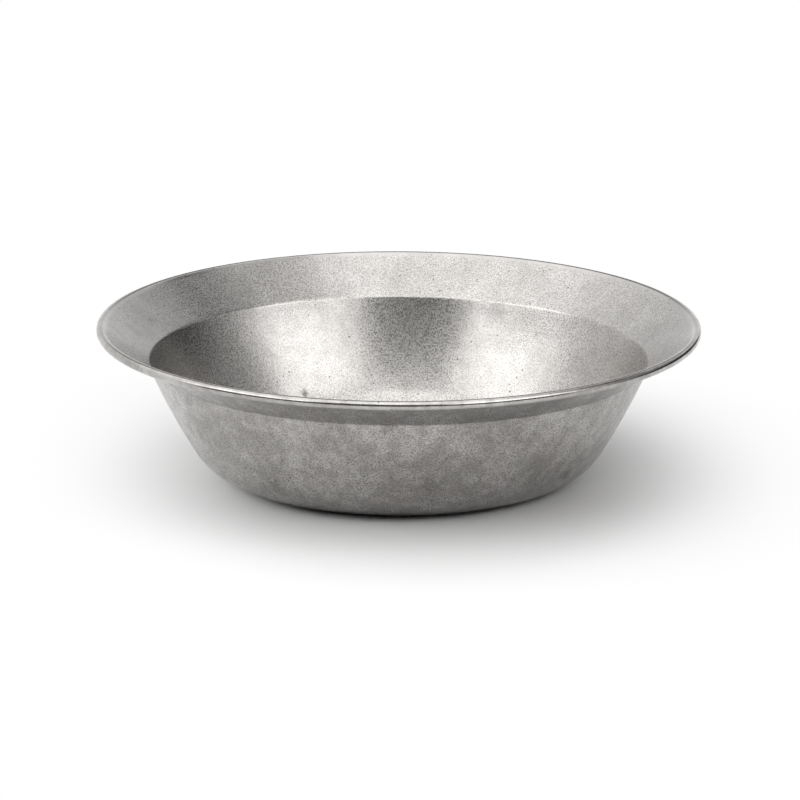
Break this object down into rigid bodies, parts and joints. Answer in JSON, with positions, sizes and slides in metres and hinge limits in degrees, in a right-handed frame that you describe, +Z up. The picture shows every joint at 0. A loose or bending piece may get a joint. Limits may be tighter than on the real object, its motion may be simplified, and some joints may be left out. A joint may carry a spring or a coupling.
{
  "type": "camping plate",
  "caption": "Deep round camping plate of drawn steel sheet with a flat base, a rounded flaring wall, a wide sloping flange and an edge rolled over a wire.",
  "frame": {"origin": "centre of the flat base, on the surface that the plate stands on", "axes": "+Z up along the plate's axis of revolution, +X and +Y across the plate"},
  "size_m": [0.2, 0.2, 0.051],
  "materials": {
    "tumbled_steel": "tumbled satin with a fine speckle, small pits and faint clouding",
    "drawn_wire": "plain drawn wire"
  },
  "bodies": {
    "root": {"plate_shell": "tumbled_steel", "rim_wire": "drawn_wire"}
  },
  "joints": []
}
